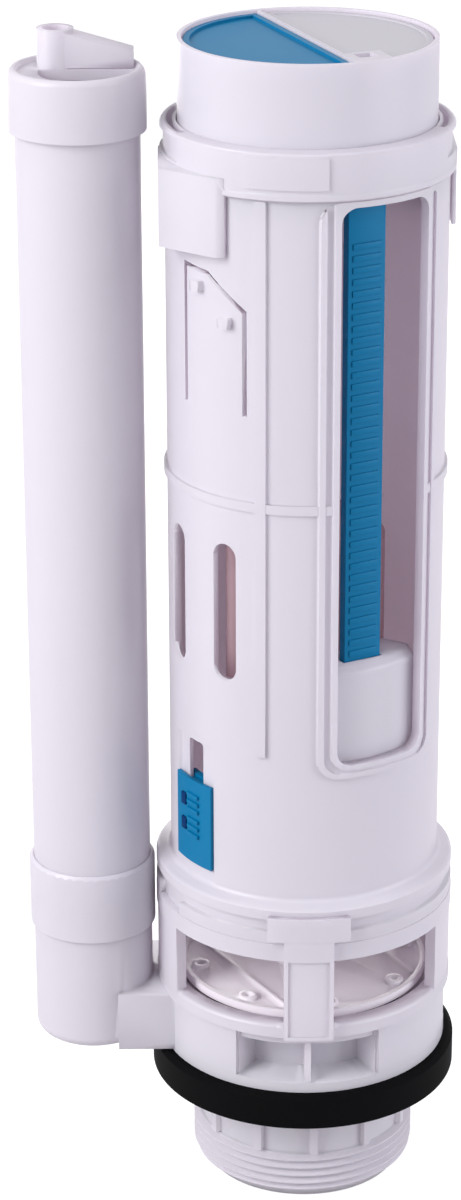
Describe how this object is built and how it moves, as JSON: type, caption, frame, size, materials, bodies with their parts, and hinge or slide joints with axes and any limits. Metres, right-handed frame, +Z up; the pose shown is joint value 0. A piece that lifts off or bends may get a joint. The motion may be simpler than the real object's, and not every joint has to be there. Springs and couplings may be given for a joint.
{
  "type": "toilet flush valve",
  "caption": "Tall round flush valve for a toilet tank with a split push button, bayonet tower, scale bar, cup float, caged seal and side overflow pipe.",
  "frame": {"origin": "on the valve's axis, on the tank floor under the gasket, where the tail goes through the tank", "axes": "+Z up along the valve's axis, the overflow pipe on the -X side, -Y the front with the scale bar's window"},
  "size_m": [0.1144, 0.083, 0.3116],
  "materials": {
    "white_plastic": "satin moulded",
    "inner_plastic": "satin moulded",
    "blue_plastic": "satin moulded",
    "grey_plastic": "satin moulded",
    "black_rubber": "matt",
    "seal_rubber": "matt",
    "pin_steel": "drawn"
  },
  "bodies": {
    "base": {"base_seat": "white_plastic", "tank_gasket": "black_rubber", "overflow_coupling": "white_plastic", "overflow_seal": "black_rubber", "overflow_tube": "white_plastic", "overflow_cap": "white_plastic"},
    "tower": {"tower_body": "white_plastic", "stem_guide": "inner_plastic", "lock_collar": "white_plastic", "head_housing": "white_plastic", "lever_frame": "inner_plastic", "lever_pins": "pin_steel"},
    "half_button": {"half_button": "blue_plastic"},
    "full_button": {"full_button": "grey_plastic"},
    "half_lever": {"half_lever": "inner_plastic"},
    "full_lever": {"full_lever": "inner_plastic"},
    "valve": {"valve_stem": "inner_plastic", "stem_crosshead": "inner_plastic", "main_float": "inner_plastic", "valve_plate": "grey_plastic", "valve_seal": "seal_rubber", "seal_retainer": "inner_plastic"},
    "bar": {"scale_bar": "blue_plastic", "bar_hook": "blue_plastic"},
    "cup": {"float_cup": "white_plastic"},
    "slider": {"flush_slider": "blue_plastic", "slider_keeper": "blue_plastic"}
  },
  "joints": [
    {"name": "tower_twist", "type": "hinge", "parent": "base", "child": "tower", "pos_m": [0, 0, 0.0608], "axis": [0, 0, 1], "range_deg": [0, 68]},
    {"name": "full_press", "type": "slide", "parent": "tower", "child": "full_button", "axis": [0, 0, -1], "range_m": [0, 0.00551]},
    {"name": "half_press", "type": "slide", "parent": "tower", "child": "half_button", "axis": [0, 0, -1], "range_m": [0, 0.00551]},
    {"name": "full_lever_turn", "type": "hinge", "parent": "tower", "child": "full_lever", "pos_m": [0.01494, 0.00573, 0.2598], "axis": [-0.3584, 0.9336, 0], "range_deg": [0, 30.05]},
    {"name": "half_lever_turn", "type": "hinge", "parent": "tower", "child": "half_lever", "pos_m": [-0.01494, -0.00573, 0.2598], "axis": [0.3584, -0.9336, 0], "range_deg": [0, 30.05]},
    {"name": "valve_lift", "type": "slide", "parent": "tower", "child": "valve", "axis": [0, 0, 1], "range_m": [0, 0.008]},
    {"name": "bar_lift", "type": "slide", "parent": "tower", "child": "bar", "axis": [0, 0, 1], "range_m": [0, 0.008]},
    {"name": "cup_adjust", "type": "slide", "parent": "bar", "child": "cup", "axis": [0, 0, 1], "range_m": [0, 0.095]},
    {"name": "slider_adjust", "type": "slide", "parent": "tower", "child": "slider", "axis": [0, 0, 1], "range_m": [0, 0.011]}
  ],
  "couplings": [
    {"joint": "full_press", "follows": "valve_lift", "ratio": 0.6875},
    {"joint": "full_lever_turn", "follows": "valve_lift", "rad_per_m": 65.45},
    {"joint": "half_press", "follows": "bar_lift", "ratio": 0.6875},
    {"joint": "half_lever_turn", "follows": "bar_lift", "rad_per_m": 65.45}
  ]
}
